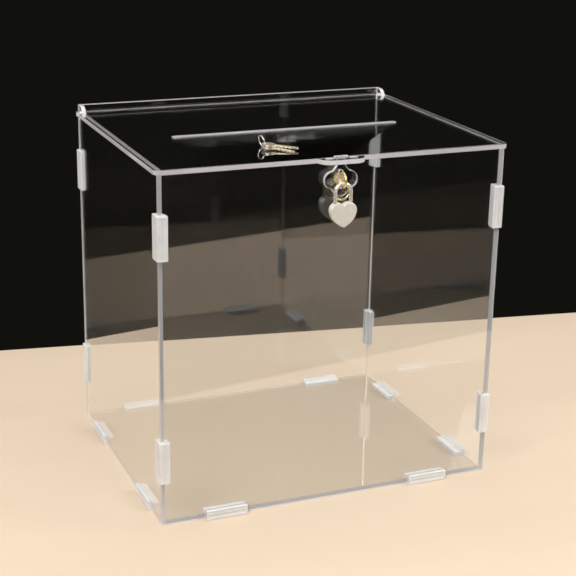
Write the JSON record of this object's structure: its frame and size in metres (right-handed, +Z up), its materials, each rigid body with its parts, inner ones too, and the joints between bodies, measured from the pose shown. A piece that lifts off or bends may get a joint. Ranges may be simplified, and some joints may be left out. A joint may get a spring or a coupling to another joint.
{
  "type": "donation box",
  "caption": "Clear acrylic donation box with a slotted hinged lid, a hasp and a small heart padlock, on clipped flat panels.",
  "frame": {"origin": "middle of the whole plan within 2 mm, lid tongue and padlock included, on the surface the box stands on; the four walls are centred 6.5 mm behind it", "axes": "+Z up, -Y towards the front panel with the padlock, +X to the right seen from the front"},
  "size_m": [0.255, 0.2128, 0.2592],
  "materials": {
    "clear_acrylic": "polished clear acrylic sheet with laser-cut edges",
    "frosted_clip": "milky translucent moulded plastic",
    "gold_brass": "polished yellow brass",
    "pale_brass": "pale plated brass, brushed across",
    "shackle_brass": "pale plated, polished wire",
    "key_brass": "stamped plated key",
    "bright_steel": "bright spring steel"
  },
  "bodies": {
    "box": {"front_panel": "clear_acrylic", "rear_panel": "clear_acrylic", "left_panel": "clear_acrylic", "right_panel": "clear_acrylic", "base_panel": "clear_acrylic", "base_clip_front_left": "frosted_clip", "base_clip_front_right": "frosted_clip", "base_clip_left_front": "frosted_clip", "base_clip_left_rear": "frosted_clip", "base_clip_rear_left": "frosted_clip", "base_clip_rear_right": "frosted_clip", "base_clip_right_front": "frosted_clip", "base_clip_right_rear": "frosted_clip", "corner_clip_front_left_lower": "frosted_clip", "corner_clip_front_left_upper": "frosted_clip", "corner_clip_front_right_lower": "frosted_clip", "corner_clip_front_right_upper": "frosted_clip", "corner_clip_rear_left_lower": "frosted_clip", "corner_clip_rear_left_upper": "frosted_clip", "corner_clip_rear_right_lower": "frosted_clip", "corner_clip_rear_right_upper": "frosted_clip", "screw_eye": "gold_brass", "eye_washer": "gold_brass", "eye_nut": "gold_brass"},
    "lid": {"lid": "clear_acrylic", "hasp_plate": "clear_acrylic"},
    "drop_ring": {"drop_ring": "gold_brass"},
    "shackle": {"padlock_shackle": "shackle_brass"},
    "padlock": {"padlock_case": "pale_brass", "heel_spring": "bright_steel", "latch_spring": "bright_steel"},
    "key_plug": {"key_plug": "pale_brass"},
    "latch": {"latch_bolt": "pale_brass"},
    "key_ring": {"key_ring": "bright_steel"},
    "key_lower": {"key_lower": "key_brass"},
    "key_upper": {"key_upper": "key_brass"}
  },
  "joints": [
    {"name": "lid_hinge", "type": "hinge", "parent": "box", "child": "lid", "pos_m": [0, 0.1, 0.2485], "axis": [-1, 0, 0], "range_deg": [0, 105]},
    {"name": "ring_swing", "type": "hinge", "parent": "box", "child": "drop_ring", "pos_m": [0, -0.098, 0.23099], "axis": [0, 1, 0], "range_deg": [-25, 25]},
    {"name": "padlock_swing", "type": "hinge", "parent": "box", "child": "shackle", "pos_m": [0, -0.1005, 0.23101], "axis": [0, 1, 0], "range_deg": [-25, 25]},
    {"name": "padlock_release", "type": "slide", "parent": "shackle", "child": "padlock", "axis": [0, 0, -1], "range_m": [0, 0.0045], "deforming": ["heel_spring"]},
    {"name": "plug_turn", "type": "hinge", "parent": "padlock", "child": "key_plug", "pos_m": [0, -0.1005, 0.206], "axis": [0, 0, 1], "range_deg": [0, 90]},
    {"name": "latch_slide", "type": "slide", "parent": "padlock", "child": "latch", "axis": [1, 0, 0], "range_m": [0, 0.0027], "deforming": ["latch_spring"]},
    {"name": "keys_lift", "type": "slide", "parent": "lid", "child": "key_ring", "axis": [0, 0, 1], "range_m": [0, 0.04]},
    {"name": "key_lower_swing", "type": "hinge", "parent": "key_ring", "child": "key_lower", "pos_m": [-0.039, -0.058, 0.2515], "axis": [0, 0, 1], "range_deg": [-15, 10]},
    {"name": "key_upper_swing", "type": "hinge", "parent": "key_ring", "child": "key_upper", "pos_m": [-0.039, -0.058, 0.2525], "axis": [0, 0, 1], "range_deg": [-10, 22]}
  ],
  "couplings": [
    {"joint": "plug_turn", "follows": "padlock_release", "rad_per_m": 349.07},
    {"joint": "latch_slide", "follows": "padlock_release", "ratio": 0.6}
  ]
}
